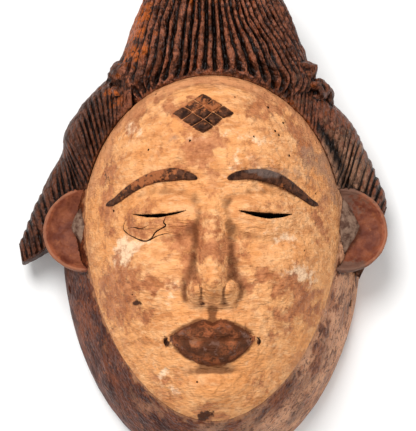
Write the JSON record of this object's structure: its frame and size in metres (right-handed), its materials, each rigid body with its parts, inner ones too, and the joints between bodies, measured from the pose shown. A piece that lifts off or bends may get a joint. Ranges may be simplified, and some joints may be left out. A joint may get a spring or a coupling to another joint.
{
  "type": "carved face mask",
  "caption": "Hollow wooden dance mask with a pale painted face, tall combed crest, combed side locks, cup-shaped ears and a collar, lying on its back.",
  "frame": {"origin": "on the plane the mask lies on, under the middle of its outline", "axes": "+X towards the wearer's left ear, +Y towards the top of the crest, +Z out of the face"},
  "size_m": [0.2058, 0.2904, 0.117],
  "materials": {
    "wood": "carved wood, whitened face, blackened hair, worn and stained"
  },
  "bodies": {
    "root": {"mask": "wood"}
  },
  "joints": []
}
